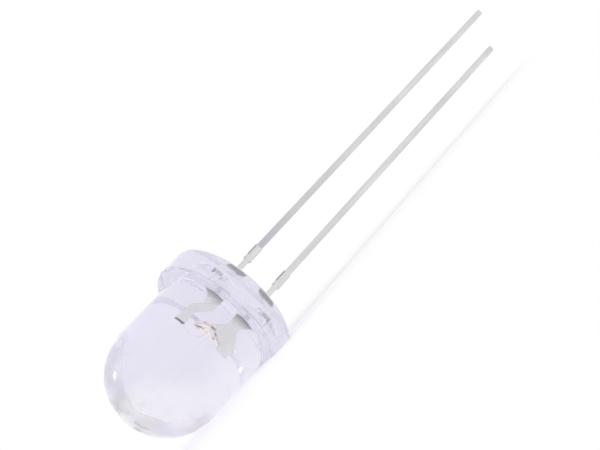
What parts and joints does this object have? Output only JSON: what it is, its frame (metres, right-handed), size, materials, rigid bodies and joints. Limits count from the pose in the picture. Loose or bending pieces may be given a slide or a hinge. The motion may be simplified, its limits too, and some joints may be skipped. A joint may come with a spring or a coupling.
{
  "type": "through-hole led",
  "caption": "Clear round through-hole light-emitting diode with a domed lens, a flanged base with a flat, and long straight leads.",
  "frame": {"origin": "middle of the round base face, where the lens's middle line leaves it", "axes": "+X along the middle line from the dome out of the base, the way the leads run; -Z from the middle line to the flat of the flange, which the part lies on, on the cathode's side; +Y is square to the plane of the leads"},
  "size_m": [0.0432, 0.0094, 0.0087],
  "materials": {
    "clear_epoxy": "water-clear cast epoxy, polished, with a faint lavender tint",
    "tinned_steel": "tin-plated steel sheet, satin",
    "silver_epoxy": "silver-filled epoxy, matt",
    "semiconductor": "amber crystal with a gold pad",
    "gold_wire": "drawn gold"
  },
  "bodies": {
    "root": {"lens": "clear_epoxy", "cathode_lead": "tinned_steel", "anode_lead": "tinned_steel", "die_attach": "silver_epoxy", "led_die": "semiconductor", "bond_wire": "gold_wire"}
  },
  "joints": []
}
